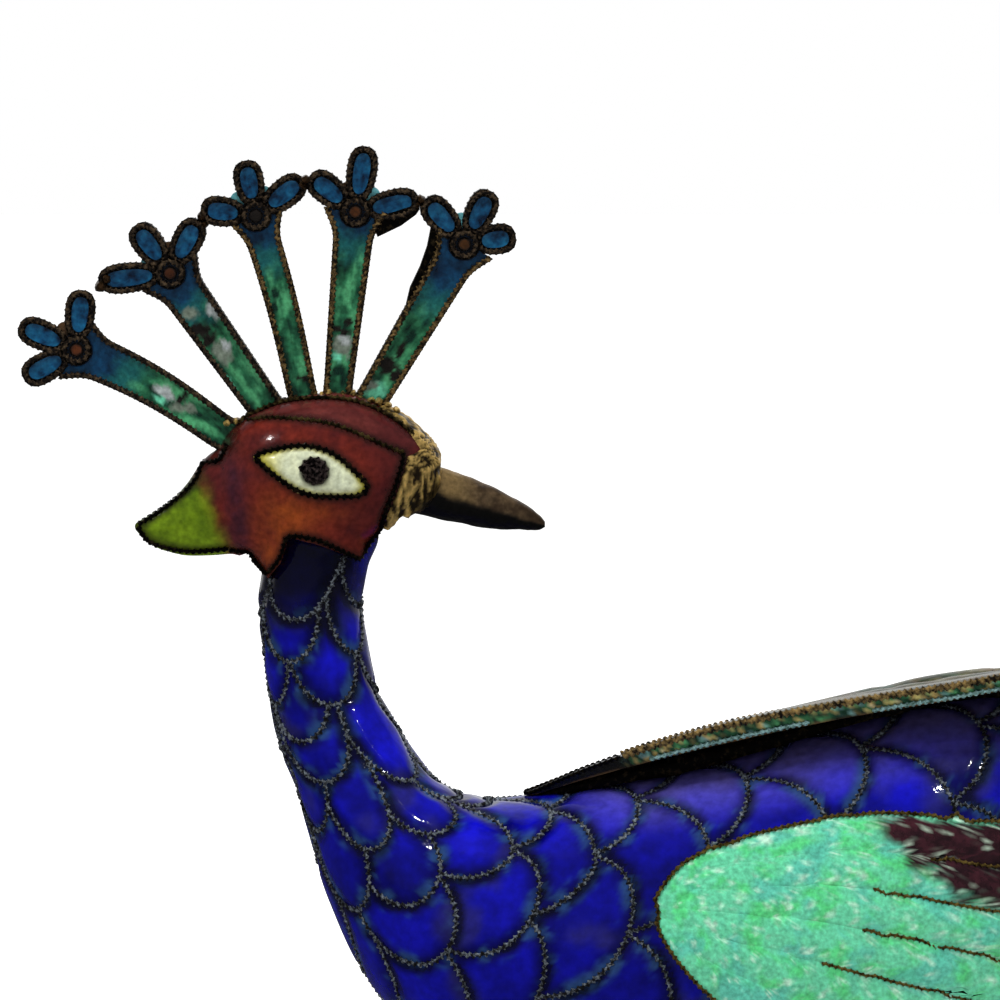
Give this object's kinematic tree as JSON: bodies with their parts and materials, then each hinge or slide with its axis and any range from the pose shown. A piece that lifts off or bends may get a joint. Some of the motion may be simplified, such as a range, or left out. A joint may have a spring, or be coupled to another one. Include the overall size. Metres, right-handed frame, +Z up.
{
  "type": "peacock figurine",
  "caption": "Enamelled peacock figurine looking back over its long train, with a fanned petal-tipped crest, on a low oval base.",
  "frame": {"origin": "middle of the base's underside", "axes": "+Z up, +X towards the end of the train, so that the breast faces -X and the bird's left side faces -Y"},
  "size_m": [0.1544, 0.043, 0.1059],
  "materials": {
    "cobalt_enamel": "glossy translucent cobalt-blue enamel over copper, with twisted wires",
    "brick_red_enamel": "glossy brick-red enamel over copper",
    "green_enamel": "mottled green enamel over copper, worn",
    "turquoise_enamel": "speckled turquoise enamel over copper",
    "old_brass": "tarnished gilt brass"
  },
  "bodies": {
    "root": {"body": "cobalt_enamel", "head": "brick_red_enamel", "beak": "old_brass", "crest_plume_1": "green_enamel", "crest_plume_2": "green_enamel", "crest_plume_3": "green_enamel", "crest_plume_4": "green_enamel", "crest_plume_5": "green_enamel", "wing_left": "turquoise_enamel", "wing_right": "turquoise_enamel", "train": "green_enamel", "leg_left": "old_brass", "leg_right": "old_brass", "base": "old_brass"}
  },
  "joints": []
}
